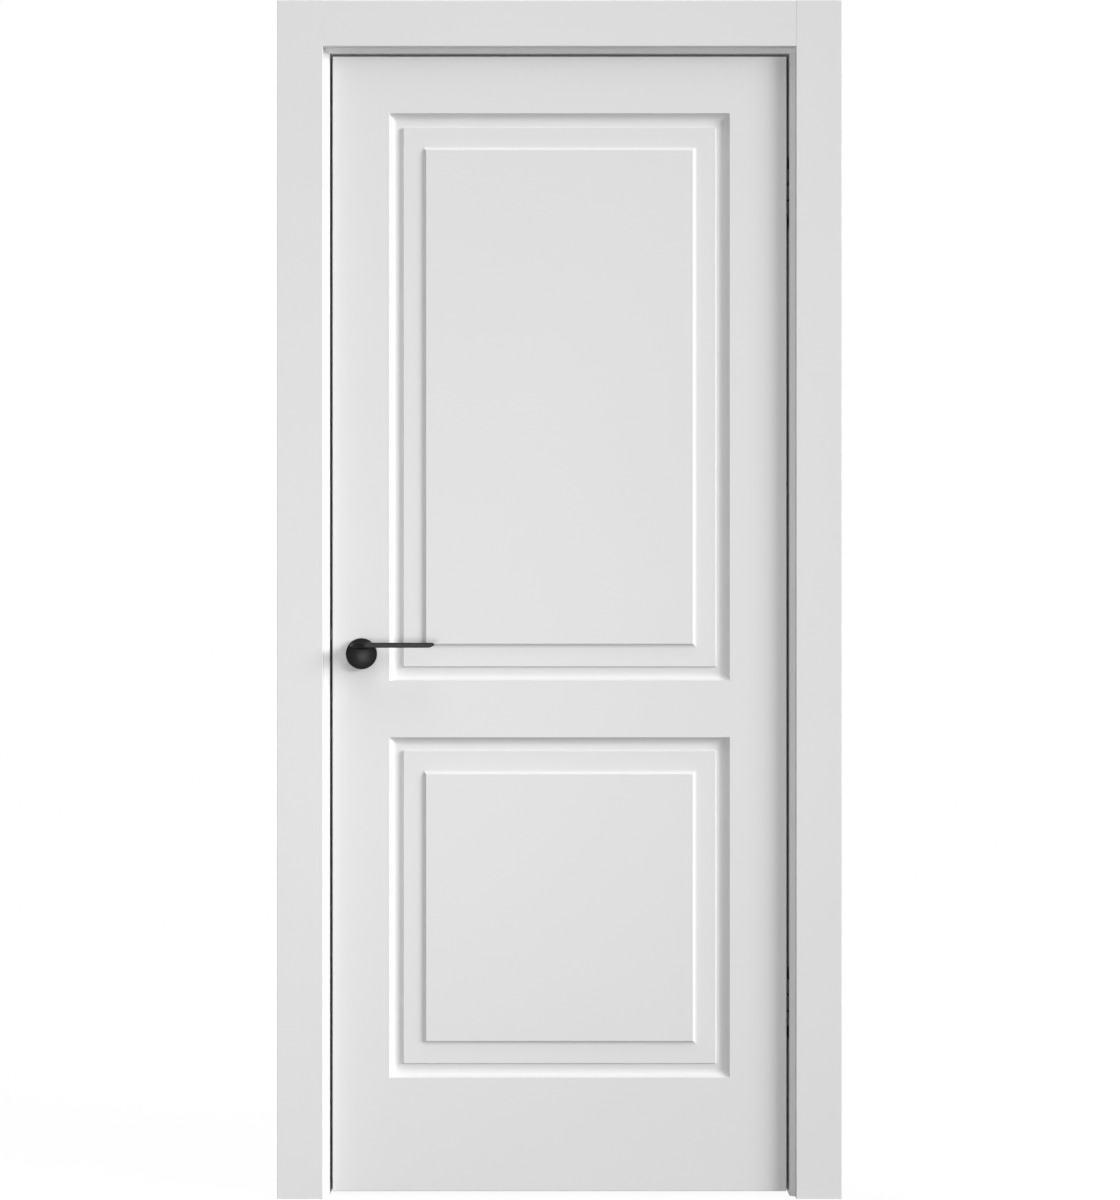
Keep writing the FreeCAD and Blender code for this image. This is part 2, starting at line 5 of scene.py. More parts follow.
import bpy
import numpy as np
from bpy.props import FloatProperty, FloatVectorProperty, PointerProperty
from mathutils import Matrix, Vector


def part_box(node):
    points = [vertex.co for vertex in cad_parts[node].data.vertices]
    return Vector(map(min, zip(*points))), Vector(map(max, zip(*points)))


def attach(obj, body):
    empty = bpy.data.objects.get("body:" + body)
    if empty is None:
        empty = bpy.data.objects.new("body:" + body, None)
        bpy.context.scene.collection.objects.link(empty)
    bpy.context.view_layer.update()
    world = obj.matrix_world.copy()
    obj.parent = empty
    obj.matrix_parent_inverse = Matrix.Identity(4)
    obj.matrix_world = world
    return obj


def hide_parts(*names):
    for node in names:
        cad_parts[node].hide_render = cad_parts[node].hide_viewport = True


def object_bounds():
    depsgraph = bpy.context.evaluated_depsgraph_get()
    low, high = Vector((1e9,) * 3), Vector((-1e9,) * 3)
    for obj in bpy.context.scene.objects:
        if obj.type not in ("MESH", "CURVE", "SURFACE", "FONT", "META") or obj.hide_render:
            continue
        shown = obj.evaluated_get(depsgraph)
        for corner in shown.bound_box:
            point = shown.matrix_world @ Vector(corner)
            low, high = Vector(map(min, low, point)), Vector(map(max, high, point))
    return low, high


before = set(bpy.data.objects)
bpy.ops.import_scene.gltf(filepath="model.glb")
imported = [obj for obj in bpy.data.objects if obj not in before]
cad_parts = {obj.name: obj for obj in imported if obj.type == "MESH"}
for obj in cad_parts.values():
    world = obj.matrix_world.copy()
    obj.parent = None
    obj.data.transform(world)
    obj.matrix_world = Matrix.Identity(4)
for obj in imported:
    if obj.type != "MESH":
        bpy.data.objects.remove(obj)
CAD_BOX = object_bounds()

bl_info = {
    "name": "Interior Door Looks",
    "version": (1, 0, 0),
    "blender": (4, 5, 0),
    "location": "3D View > Sidebar > Door",
    "description": "Finishes, small fittings and a plain studio for a white panel door",
    "category": "Object",
}

WHITE_NODES = [
    "front_casing_hinge_side", "front_casing_latch_side", "front_casing_head",
    "back_casing_hinge_side", "back_casing_latch_side", "back_casing_head",
    "hinge_jamb", "latch_jamb", "head_jamb", "front_facing", "back_facing",
]
BOARD_NODES = [
    "latch_stile", "hinge_stile", "top_rail", "middle_rail", "bottom_rail", "upper_core", "lower_core",
]
SEAL_NODES = ["hinge_jamb_seal", "latch_jamb_seal", "head_jamb_seal"]
HANDLE_NODES = [
    "front_rose", "back_rose", "front_lever_hub", "back_lever_hub", "front_lever", "back_lever",
]
HINGE_NODES = [
    place + part for place in ("upper", "lower")
    for part in ("_hinge_jamb_body", "_hinge_leaf_body", "_hinge_jamb_arms", "_hinge_leaf_arm")
]

QUARTER_TURN = math.pi / 2.0
FULL_TURN = 2.0 * math.pi
WHITE = (1.0, 1.0, 1.0, 1.0)
# The picture is 1120 pixels wide and this many high.
PICTURE_HEIGHT = 1200.0
SENSOR_MILLIMETRES = 36.0


# What a user would change

class DoorFinish(bpy.types.PropertyGroup):
    """Colours and sheens of the door."""
    enamel: FloatVectorProperty(
        name="Enamel", description="Colour of the leaf, frame and casings",
        default=(0.80, 0.80, 0.80), subtype="COLOR", min=0.0, max=1.0)
    enamel_roughness: FloatProperty(
        name="Enamel roughness", description="Sheen of the enamel", default=0.42)
    black: FloatVectorProperty(
        name="Handle black", description="Colour of levers and roses",
        default=(0.006, 0.006, 0.006), subtype="COLOR", min=0.0, max=1.0)
    black_roughness: FloatProperty(
        name="Handle roughness", description="Sheen of the black coat", default=0.31)
    graphite: FloatVectorProperty(
        name="Hinge grey", description="Colour of the hinges' dark coat",
        default=(0.15, 0.15, 0.15), subtype="COLOR", min=0.0, max=1.0)
    graphite_roughness: FloatProperty(
        name="Hinge roughness", description="Sheen of the hinges' coat", default=0.45)
    hinge_screw_roughness: FloatProperty(
        name="Hinge screw roughness", description="Sheen of the dark screws in the hinges", default=0.4)
    steel: FloatVectorProperty(
        name="Steel", description="Colour of latch and strike plate",
        default=(0.55, 0.55, 0.55), subtype="COLOR", min=0.0, max=1.0)
    steel_roughness: FloatProperty(
        name="Steel roughness", description="Sheen of latch and strike plate", default=0.35)
    plate_screw_roughness: FloatProperty(
        name="Plate screw roughness", description="Sheen of the steel screws in the plates", default=0.3)
    seal: FloatVectorProperty(
        name="Seal", description="Colour of the seal strips",
        default=(0.10, 0.10, 0.10), subtype="COLOR", min=0.0, max=1.0)
    seal_roughness: FloatProperty(
        name="Seal roughness", description="Sheen of the seal strips", default=0.7)
    board: FloatVectorProperty(
        name="Core wood", description="Colour of the bare inner boards",
        default=(0.62, 0.47, 0.31), subtype="COLOR", min=0.0, max=1.0)
    board_roughness: FloatProperty(
        name="Core wood roughness", description="Sheen of the bare inner boards", default=0.6)


class HandleSizes(bpy.types.PropertyGroup):
    """Sizes of the two lever handles, measured from the handle's axis and the leaf's face."""
    hub_radius: FloatProperty(
        name="Hub radius", description="Radius of the turning disc",
        default=0.0273, unit="LENGTH")
    hub_back: FloatProperty(
        name="Hub back", description="From the leaf to the disc's back",
        default=0.0054, unit="LENGTH")
    hub_face: FloatProperty(
        name="Hub face", description="From the leaf to the top of the dome",
        default=0.0134, unit="LENGTH")
    hub_crown: FloatProperty(
        name="Hub dome", description="Height of the dome",
        default=0.003, unit="LENGTH")
    hub_rim_rounding: FloatProperty(
        name="Hub rim", description="Rounding of the disc's rim",
        default=0.0008, unit="LENGTH")
    sleeve_radius: FloatProperty(
        name="Sleeve", description="Radius of the sleeve in the rose",
        default=0.009, unit="LENGTH")
    lever_lift: FloatProperty(
        name="Lever lift", description="Middle of the lever above the axis",
        default=0.0158, unit="LENGTH")
    lever_height: FloatProperty(
        name="Lever height", description="Height of the bar",
        default=0.0087, unit="LENGTH")
    lever_length: FloatProperty(
        name="Lever length", description="From the axis to the tip",
        default=0.1308, unit="LENGTH")
    lever_projection: FloatProperty(
        name="Lever projection", description="From the leaf to the grip's outer edge",
        default=0.058, unit="LENGTH")
    lever_depth: FloatProperty(
        name="Grip depth", description="Depth of the grip from above",
        default=0.018, unit="LENGTH")
    lever_edge: FloatProperty(
        name="Lever edge", description="Rounding of the bar's long edges",
        default=0.0013, unit="LENGTH")
    tip_under: FloatProperty(
        name="Tip below", description="Length of the tip's lower rounding",
        default=0.0125, unit="LENGTH")
    tip_over: FloatProperty(
        name="Tip above", description="Length of the tip's upper rounding",
        default=0.0045, unit="LENGTH")
    nose_rise: FloatProperty(
        name="Nose", description="Height of the tip's nose above the bar's middle",
        default=0.0005, unit="LENGTH")
    neck_taper: FloatProperty(
        name="Neck taper", description="Width over which the neck thins to its outer side",
        default=0.012, unit="LENGTH")
    bend_outer: FloatProperty(
        name="Outer bend", description="Radius of the neck's outer bend",
        default=0.030, unit="LENGTH")
    bend_inner: FloatProperty(
        name="Inner bend", description="Radius of the neck's inner bend",
        default=0.008, unit="LENGTH")
    flare_above: FloatProperty(
        name="Flare above", description="Foot above the lever's middle",
        default=0.0061, unit="LENGTH")
    flare_below: FloatProperty(
        name="Flare below", description="Foot below the lever's middle",
        default=0.0124, unit="LENGTH")
    flare_tip_drop: FloatProperty(
        name="Flare tip drop", description="How far the foot's ends lie lower",
        default=0.0008, unit="LENGTH")
    flare_reach: FloatProperty(
        name="Flare reach", description="From the disc's rim to the end of the flare",
        default=0.010, unit="LENGTH")


class ScrewSizes(bpy.types.PropertyGroup):
    """Sizes of the screws in the latch plates and hinge bodies."""
    radius: FloatProperty(
        name="Screw radius", description="Radius of a screw's head",
        default=0.0035, unit="LENGTH")
    rise: FloatProperty(
        name="Screw rise", description="How far a head stands out of its plate",
        default=0.0004, unit="LENGTH")
    from_end: FloatProperty(
        name="Screw from end", description="From a plate's end to the screw's middle",
        default=0.012, unit="LENGTH")


class StudioSizes(bpy.types.PropertyGroup):
    """Lights, camera and floor."""
    key_strength: FloatProperty(
        name="Key light", description="Strength of the key light", default=3.1)
    key_angle: FloatProperty(
        name="Key softness", description="Apparent width of the key light and the rear light",
        default=math.radians(25.0), subtype="ANGLE")
    key_direction: FloatVectorProperty(
        name="Towards key", description="Direction from the door to the key light",
        default=(0.835, -0.405, 0.300), subtype="DIRECTION")
    rear_strength: FloatProperty(
        name="Rear light", description="Strength of the light on the unseen side", default=2.6)
    rear_direction: FloatVectorProperty(
        name="Towards rear light", description="Direction from the door to the light",
        default=(-0.66, 0.55, 0.50), subtype="DIRECTION")
    top_strength: FloatProperty(
        name="Top light", description="Strength of the light from above", default=0.85)
    top_angle: FloatProperty(
        name="Top softness", description="Apparent width of the light from above",
        default=math.radians(30.0), subtype="ANGLE")
    top_direction: FloatVectorProperty(
        name="Towards top light", description="Direction from the door to the light",
        default=(0.0, -0.35, 0.94), subtype="DIRECTION")
    front_strength: FloatProperty(
        name="Front light", description="Power of the broad lamp in front", default=5.3)
    front_light_width: FloatProperty(
        name="Front light width", description="Width of that lamp",
        default=1.6, unit="LENGTH")
    front_light_place: FloatVectorProperty(
        name="Front light place", description="From the foot of the front's middle",
        default=(0.0, -2.2, 1.9), subtype="XYZ", unit="LENGTH")
    low_strength: FloatProperty(
        name="Low light", description="Power of the smaller low lamp", default=42.0)
    low_light_width: FloatProperty(
        name="Low light width", description="Width of that lamp",
        default=0.85, unit="LENGTH")
    low_light_place: FloatVectorProperty(
        name="Low light place", description="From the foot of the front's middle",
        default=(-0.5, -4.4, 0.5), subtype="XYZ", unit="LENGTH")
    back_strength: FloatProperty(
        name="Back light", description="Power of the broad lamp behind", default=18.0)
    back_light_width: FloatProperty(
        name="Back light width", description="Width of that lamp",
        default=1.6, unit="LENGTH")
    back_light_place: FloatVectorProperty(
        name="Back light place", description="From the foot of the front's middle",
        default=(0.3, 3.2, 1.3), subtype="XYZ", unit="LENGTH")
    sky_strength: FloatProperty(
        name="Sky", description="Strength of the even light", default=0.045)
    camera_distance: FloatProperty(
        name="Camera distance", description="From the front casing to the camera",
        default=4.0, unit="LENGTH")
    camera_height: FloatProperty(
        name="Camera height", description="Above the floor",
        default=1.05, unit="LENGTH")
    camera_shift: FloatProperty(
        name="Camera shift", description="To the right of the door's middle",
        default=0.0008, unit="LENGTH")
    pixels_per_metre: FloatProperty(
        name="Photo scale", description="Pixels per metre at the front casing", default=570.5)
    floor_reach: FloatProperty(
        name="Floor reach", description="Half the floor's width",
        default=12.0, unit="LENGTH")
    floor_colour: FloatVectorProperty(
        name="Floor colour", description="Colour of the floor as it lights the door",
        default=(0.15, 0.15, 0.15), subtype="COLOR", min=0.0, max=1.0)
    floor_seen: FloatVectorProperty(
        name="Floor as seen", description="Colour of the floor as the camera sees it",
        default=(0.95, 0.95, 0.95), subtype="COLOR", min=0.0, max=1.0)
    floor_shade: FloatProperty(
        name="Floor shadow", description="Share of the shadow that the camera sees", default=0.05)


# Shader maths

class Term:
    """A shader socket that sums, multiplies and compares like a number."""

    def __init__(self, graph, socket):
        self.graph = graph
        self.socket = socket

    def _maths(self, operation, left, right):
        return self.graph.node("ShaderNodeMath", {"operation": operation}, {0: left, 1: right})

    def __add__(self, other):
        return self._maths("ADD", self, other)

    __radd__ = __add__

    def __mul__(self, other):
        return self._maths("MULTIPLY", self, other)

    __rmul__ = __mul__

    def __sub__(self, other):
        return self._maths("SUBTRACT", self, other)

    def __rsub__(self, other):
        return self._maths("SUBTRACT", other, self)

    def __gt__(self, other):
        return self._maths("GREATER_THAN", self, other)

    def __abs__(self):
        return self.graph.node("ShaderNodeMath", {"operation": "ABSOLUTE"}, {0: self})


class Graph:
    """The node tree of one material or of the world."""

    def __init__(self, owner):
        self.owner = bpy.data.materials.new(owner) if isinstance(owner, str) else owner
        self.owner.use_nodes = True
        self.tree = self.owner.node_tree
        self.tree.nodes.clear()

    def node(self, kind, settings=None, inputs=None, output=0):
        """Add one node: its settings first, then its sockets, and hand back one output."""
        made = self.tree.nodes.new(kind)
        for name, value in (settings or {}).items():
            setattr(made, name, value)
        for key, value in (inputs or {}).items():
            if isinstance(value, Term):
                self.tree.links.new(value.socket, made.inputs[key])
            else:
                made.inputs[key].default_value = value
        return Term(self, made.outputs[output]) if made.outputs else None

    def mix_colour(self, factor, low, high):
        """Blend two colours by a factor, through the Mix node's own sockets for colours."""
        factor_socket, low_socket, high_socket, colour_output = 0, 6, 7, 2
        inputs = {factor_socket: factor, low_socket: low, high_socket: high}
        return self.node("ShaderNodeMix", {"data_type": "RGBA"}, inputs, colour_output)

    def place(self):
        """Where a point lies on the door, in metres."""
        return self.node("ShaderNodeTexCoord", output="Object")

    def stretched_place(self, scale):
        """That place scaled along each axis, for grain that runs one way."""
        return self.node("ShaderNodeMapping", {}, {"Vector": self.place(), "Scale": scale})

    def noise(self, place, scale, detail, distortion=0.0):
        """A cloudy pattern from 0 to 1."""
        return self.node("ShaderNodeTexNoise", {}, {
            "Vector": place, "Scale": scale, "Detail": detail, "Distortion": distortion,
        })

    def shades(self, pattern, colour, darkest, lightest):
        """A colour that a pattern takes from its darkest to its lightest share."""
        return self.mix_colour(pattern, scaled(colour, darkest), scaled(colour, lightest))

    def bump(self, height, strength, distance):
        """Normals that follow a height pattern, whose full height is the distance in metres."""
        return self.node("ShaderNodeBump", {}, {"Height": height, "Strength": strength, "Distance": distance})

    def finish(self, kind, inputs):
        """Add the last shader and link it to the material's output."""
        self.node("ShaderNodeOutputMaterial", {}, {"Surface": self.node(kind, {}, inputs)})
        return self.owner


def rgba(colour):
    """A colour with full alpha."""
    return (colour[0], colour[1], colour[2], 1.0)


def scaled(colour, factor):
    """A colour made lighter or darker."""
    return rgba([min(1.0, channel * factor) for channel in colour])


def varied(pattern, middle, spread):
    """A value that a pattern of 0 to 1 moves by half the spread to both sides of its middle."""
    return pattern * spread + (middle - spread / 2.0)


# Finishes

def enamel_material(name, colour, roughness):
    """Sprayed satin enamel: a faint orange peel and hardly visible clouds of shade."""
    graph = Graph(name)
    place = graph.place()
    clouds = graph.noise(place, scale=3.0, detail=2.0)
    peel = graph.noise(place, scale=700.0, detail=2.0)
    return graph.finish("ShaderNodeBsdfPrincipled", {
        "Base Color": graph.shades(clouds, colour, darkest=0.985, lightest=1.015),
        "Roughness": varied(clouds, roughness, spread=0.06),
        "Normal": graph.bump(peel, strength=0.04, distance=0.0004),
        "Specular IOR Level": 0.4,
    })


def coat_material(name, colour, roughness):
    """Fine matt powder coat on metal."""
    graph = Graph(name)
    place = graph.place()
    grain = graph.noise(place, scale=2500.0, detail=2.0)
    clouds = graph.noise(place, scale=60.0, detail=3.0)
    return graph.finish("ShaderNodeBsdfPrincipled", {
        "Base Color": graph.shades(clouds, colour, darkest=0.85, lightest=1.2),
        "Roughness": varied(clouds, roughness, spread=0.1),
        "Normal": graph.bump(grain, strength=0.15, distance=0.0001),
        "Specular IOR Level": 0.15,
    })


def steel_material(name, colour, roughness):
    """Satin steel, brushed up and down."""
    graph = Graph(name)
    lines = graph.noise(graph.stretched_place((900.0, 900.0, 12.0)), scale=1.0, detail=3.0)
    return graph.finish("ShaderNodeBsdfPrincipled", {
        "Base Color": graph.shades(lines, colour, darkest=0.88, lightest=1.1),
        "Roughness": varied(lines, roughness, spread=0.14),
        "Normal": graph.bump(lines, strength=0.1, distance=0.0001),
        "Metallic": 1.0,
    })


def screw_material(name, colour, roughness):
    """Plated screw head with painted shade in its cross, which the piece's own recess attribute marks."""
    # Painted shade: the cross recess is darkened, rougher and less metallic, in place of the shade that falls
    # in it.
    painted_shade_cover = 0.85
    painted_shade_colour = scaled(colour, 0.08)
    painted_shade_roughness = 0.3
    painted_shade_dullness = 0.7
    grain_roughness = 0.15
    smoothest = roughness - 0.05
    graph = Graph(name)
    deep = graph.node("ShaderNodeAttribute", {"attribute_name": "recess"}, {}, "Fac")
    grain = graph.noise(graph.place(), scale=1800.0, detail=2.0)
    plating = graph.shades(grain, colour, darkest=0.85, lightest=1.1)
    return graph.finish("ShaderNodeBsdfPrincipled", {
        # Painted shade in the cross recess, blended over the plating by the recess attribute.
        "Base Color": graph.mix_colour(deep * painted_shade_cover, plating, painted_shade_colour),
        "Roughness": grain * grain_roughness + smoothest + deep * painted_shade_roughness,
        "Metallic": 1.0 - deep * painted_shade_dullness,
    })


def seal_material(name, colour, roughness):
    """Soft extruded seal with a dusty surface."""
    graph = Graph(name)
    dust = graph.noise(graph.place(), scale=140.0, detail=4.0)
    return graph.finish("ShaderNodeBsdfPrincipled", {
        "Base Color": graph.shades(dust, colour, darkest=0.8, lightest=1.3),
        "Roughness": varied(dust, roughness, spread=0.1),
        "Normal": graph.bump(dust, strength=0.1, distance=0.0002),
    })


def on_leaf_edges(graph):
    """1 on the leaf's two upright edges, the slanting closing edge included, and 0 further in."""
    latch_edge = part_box("latch_stile")[0][0]
    hinge_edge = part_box("hinge_stile")[1][0]
    enamel_reach = 0.001
    across = graph.node("ShaderNodeSeparateXYZ", {}, {"Vector": graph.place()}, "X")
    from_middle = abs(across - (latch_edge + hinge_edge) / 2.0)
    return from_middle > (hinge_edge - latch_edge) / 2.0 - enamel_reach


def board_material(name, colour, roughness, enamel, enamel_roughness):
    """Bare pale wood with long grain at the leaf's top and foot, and enamel on its two upright edges."""
    grain_roughness = 0.15
    grain_hidden = 0.9
    smoothest = roughness - 0.05
    graph = Graph(name)
    painted = on_leaf_edges(graph)
    bare = 1.0 - painted * grain_hidden
    grain = graph.noise(graph.stretched_place((120.0, 120.0, 4.0)), scale=1.0, detail=5.0, distortion=0.4)
    wood = graph.shades(grain, colour, darkest=0.75, lightest=1.15)
    return graph.finish("ShaderNodeBsdfPrincipled", {
        "Base Color": graph.mix_colour(painted, wood, rgba(enamel)),
        "Roughness": grain * grain_roughness * bare + smoothest + painted * (enamel_roughness - smoothest),
        "Normal": graph.bump(grain * bare, strength=0.2, distance=0.0003),
    })


def dress(nodes, material):
    """Give the named CAD nodes one material."""
    for name in nodes:
        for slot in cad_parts[name].material_slots:
            slot.material = material


# New pieces: each is one or more closed skins, and a skin is a grid of points

def grid_shell(points):
    """A closed skin from rows of points, as its corners, its four-sided faces and its triangles.

    Every row is a ring. The first and the last ring are closed by triangles to their middles.
    """
    rows, ring, _ = points.shape
    first_middle = rows * ring
    last_middle = first_middle + 1
    index = np.arange(rows * ring).reshape(rows, ring)
    ahead = np.roll(index, -1, axis=1)
    quads = np.stack([index[:-1], ahead[:-1], ahead[1:], index[1:]], axis=-1).reshape(-1, 4)
    triangles = np.concatenate([
        np.stack([np.full(ring, first_middle), ahead[0], index[0]], axis=-1),
        np.stack([np.full(ring, last_middle), index[-1], ahead[-1]], axis=-1),
    ])
    middles = np.array([points[0].mean(axis=0), points[-1].mean(axis=0)])
    return outwards(np.concatenate([points.reshape(-1, 3), middles]), quads, triangles)


def outwards(corners, quads, triangles):
    """Turn every face round if the skin's signed volume is negative, so that all of them point out."""
    halves = np.concatenate([quads[:, [0, 1, 2]], quads[:, [0, 2, 3]], triangles])
    a, b, c = (corners[halves[:, side]] for side in range(3))
    volume = np.einsum("ij,ij->i", a, np.cross(b, c)).sum()
    if volume > 0.0:
        return corners, quads, triangles
    return corners, quads[:, ::-1], triangles[:, ::-1]


def add_piece(name, shells, body, material, replaced=(), recess=None):
    """Join closed skins to one smooth piece that rides on a body and has the given material.

    Edges sharper than the crease angle stay crisp. The recess is a number for each point, which its
    material reads.
    """
    crease_angle = math.radians(38.0)
    corners = []
    faces = []
    start = 0
    for points, quads, triangles in shells:
        corners.append(points)
        faces += (start + quads).tolist() + (start + triangles).tolist()
        start += len(points)
    mesh = bpy.data.meshes.new(name)
    mesh.from_pydata(np.concatenate(corners).tolist(), [], faces)
    mesh.polygons.foreach_set("use_smooth", np.ones(len(faces), dtype=bool))
    mesh.set_sharp_from_angle(angle=crease_angle)
    if recess is not None:
        mesh.attributes.new("recess", "FLOAT", "POINT").data.foreach_set("value", recess.astype(np.float32))
    mesh.materials.append(material)
    piece = bpy.data.objects.new(name, mesh)
    bpy.context.scene.collection.objects.link(piece)
    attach(piece, body)
    for node in replaced:
        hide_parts(node)


def handle_axis():
    """The axis that both levers turn on, the leaf's front face and its middle plane."""
    low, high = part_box("front_lever_hub")
    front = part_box("front_facing")[0][1]
    middle = (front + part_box("back_facing")[1][1]) / 2.0
    return (low[0] + high[0]) / 2.0, (low[2] + high[2]) / 2.0, front, middle


def on_handle(along, out, height, face):
    """Points on the front or back handle: along the lever, out from the leaf, above the axis."""
    axis_x, axis_z, front, middle = handle_axis()
    depth = front - out
    if face == "back":
        depth = 2.0 * middle - depth
    return np.stack(np.broadcast_arrays(axis_x + along, depth, axis_z + height), axis=-1)


def inside_disc(sizes, height):
    """Half the width of the turning disc at a height above the axis, less a small margin."""
    margin = 0.0003
    return math.sqrt(sizes.hub_radius ** 2 - height ** 2) - margin


def neck_half_width(sizes):
    """Half the neck's width: as wide as the disc lets it stand."""
    return inside_disc(sizes, sizes.lever_lift + sizes.lever_height / 2.0)


def hub_shell(sizes, face):
    """The turning disc: a circle arc for its dome, a quarter-round rim, a wall and a sleeve, turned round."""
    dome_rings = 24
    rim_rings = 8
    points_round = 96
    first_ring = 0.02
    first_rim_ring = 0.15
    under_rim = 0.0003
    chamfer = 0.0004
    radius = sizes.hub_radius
    crown = sizes.hub_crown
    rim = sizes.hub_rim_rounding
    dome_radius = (radius ** 2 + crown ** 2) / (2.0 * crown)
    dome_reach = np.linspace(first_ring, 1.0, dome_rings) * (radius - rim)
    dome_out = sizes.hub_face - dome_radius + np.sqrt(dome_radius ** 2 - dome_reach ** 2)
    turn = np.linspace(first_rim_ring, 1.0, rim_rings) * QUARTER_TURN
    rim_foot = dome_out[-1] - rim
    rim_reach = radius - rim + rim * np.sin(turn)
    wall = np.array([
        (radius, rim_foot - under_rim),
        (radius, sizes.hub_back + chamfer),
        (radius - chamfer, sizes.hub_back),
        (sizes.sleeve_radius, sizes.hub_back),
        (sizes.sleeve_radius, 0.0),
    ])
    reach = np.concatenate([dome_reach, rim_reach, wall[:, 0]])[:, None]
    out = np.concatenate([dome_out, rim_foot + rim * np.cos(turn), wall[:, 1]])[:, None]
    angle = np.linspace(0.0, FULL_TURN, points_round, endpoint=False)
    return grid_shell(on_handle(reach * np.cos(angle), out, reach * np.sin(angle), face))


def lever_edges(sizes):
    """Outer and inner edge of the lever from above: up the neck, a quarter turn and along the grip.

    The points along the grip draw closer together towards the tip, by a cosine.
    """
    neck_rows = 8
    bend_rows = 26
    grip_rows = 12
    tip_rows = 22
    root_depth = 0.002
    half = neck_half_width(sizes)
    root = sizes.hub_face - sizes.hub_crown - root_depth
    outer = (-half, sizes.bend_outer, sizes.lever_projection)
    inner = (half, sizes.bend_inner, sizes.lever_projection - sizes.lever_depth)
    turn = np.linspace(0.0, QUARTER_TURN, bend_rows)
    from_tip = 1.0 - np.cos(np.linspace(0.0, QUARTER_TURN, tip_rows))
    grip = np.concatenate([
        np.linspace(0.0, 1.0, grip_rows)[1:-1] * (sizes.lever_length - sizes.tip_under),
        sizes.lever_length - sizes.tip_under * from_tip[::-1],
    ])
    straight = grip[grip > sizes.bend_outer]
    edges = []
    for across, radius, depth in (outer, inner):
        neck_out = np.linspace(root, depth - radius, neck_rows)[:-1]
        bend_along = across + radius - radius * np.cos(turn)
        bend_out = depth - radius + radius * np.sin(turn)
        along = np.concatenate([np.full(len(neck_out), across), bend_along, straight])
        out = np.concatenate([neck_out, bend_out, np.full(len(straight), depth)])
        edges.append((along, out))
    return edges


def level_arc(way, run, rise):
    """Height of a circle arc that starts level where the way is 0 and climbs the rise in the run.

    It stops a hair short of its end, so that the skin has some thickness left there.
    """
    nearly_all = 0.9995
    radius = (run ** 2 + rise ** 2) / (2.0 * rise)
    return radius - np.sqrt(radius ** 2 - np.clip(way, 0.0, run * nearly_all) ** 2)


def bar_section(edge, half_height, half_width):
    """A rounded rectangle round the bar, as shares of its half width and half height from -1 to 1.

    Each corner is a quarter circle, with one more point a little way along both flats to keep them flat.
    """
    corner_points = 7
    along_flat = 0.0004
    turn = np.concatenate([[0.0], np.linspace(0.0, QUARTER_TURN, corner_points), [QUARTER_TURN]])
    slide = np.zeros(len(turn))
    slide[0] = -along_flat
    slide[-1] = along_flat
    angle = (turn + np.arange(4)[:, None] * QUARTER_TURN).ravel()
    slides = np.tile(slide, 4)
    side_across = np.repeat([1.0, -1.0, -1.0, 1.0], len(turn))
    side_up = np.repeat([1.0, 1.0, -1.0, -1.0], len(turn))
    across = side_across * (half_width - edge) + edge * np.cos(angle) - slides * np.sin(angle)
    up = side_up * (half_height - edge) + edge * np.sin(angle) + slides * np.cos(angle)
    return across / half_width, up / half_height


def lever_shell(sizes, face):
    """The bar: a rounded rectangle carried between its two edges.

    Its underside and top close on the nose at the tip, and nearly meet at the neck's outer side, along
    circle arcs that start level.
    """
    neck_under_rise = 0.55
    neck_top_drop = 1.15
    (outer_along, outer_out), (inner_along, inner_out) = lever_edges(sizes)
    width_along = (inner_along - outer_along)[:, None]
    width_out = (inner_out - outer_out)[:, None]
    tall = sizes.lever_height / 2.0
    across, up = bar_section(sizes.lever_edge, tall, np.hypot(width_along, width_out) / 2.0)
    along = ((outer_along + inner_along)[:, None] + across * width_along) / 2.0
    out = ((outer_out + inner_out)[:, None] + across * width_out) / 2.0
    past_tip = along - sizes.lever_length
    low = -tall + level_arc(past_tip + sizes.tip_under, sizes.tip_under, sizes.nose_rise + tall)
    high = tall - level_arc(past_tip + sizes.tip_over, sizes.tip_over, tall - sizes.nose_rise)
    to_neck_side = sizes.neck_taper - neck_half_width(sizes) - along
    low = low + level_arc(to_neck_side, sizes.neck_taper, neck_under_rise * tall)
    high = high - level_arc(to_neck_side, sizes.neck_taper, neck_top_drop * tall)
    height = sizes.lever_lift + (low + high) / 2.0 + up * (high - low) / 2.0
    return grid_shell(on_handle(along, out, height, face))


def flare_shell(sizes, face):
    """The swelling at the neck's foot: two circle arcs on one chord, which shrink by a power of the way."""
    rows = 20
    points_round = 72
    shrinking = 1.53
    inside_neck = 0.0004
    root_depth = 0.001
    way = np.linspace(0.0, 1.0, rows)[:, None]
    share = (1.0 - way) ** shrinking
    tall = sizes.lever_height / 2.0 - inside_neck
    narrow = neck_half_width(sizes) - inside_neck
    foot = inside_disc(sizes, sizes.lever_lift - sizes.flare_tip_drop)
    wide = narrow + share * (foot - narrow)
    drop = share * sizes.flare_tip_drop
    rise = tall + share * (sizes.flare_above - tall) + drop
    fall = tall + share * (sizes.flare_below - tall) - drop
    turn = np.linspace(0.0, FULL_TURN, points_round, endpoint=False)
    along = wide * np.cos(turn)
    upper = np.sin(turn) >= 0.0
    deep = np.where(upper, rise, fall)
    arc_radius = (wide ** 2 + deep ** 2) / (2.0 * deep)
    bulge = np.sqrt(np.maximum(arc_radius ** 2 - along ** 2, 0.0)) - (arc_radius - deep)
    height = sizes.lever_lift - drop + np.where(upper, bulge, -bulge)
    out = sizes.hub_face - sizes.hub_crown - root_depth + way * (sizes.flare_reach + root_depth)
    return grid_shell(on_handle(along, out, height, face))


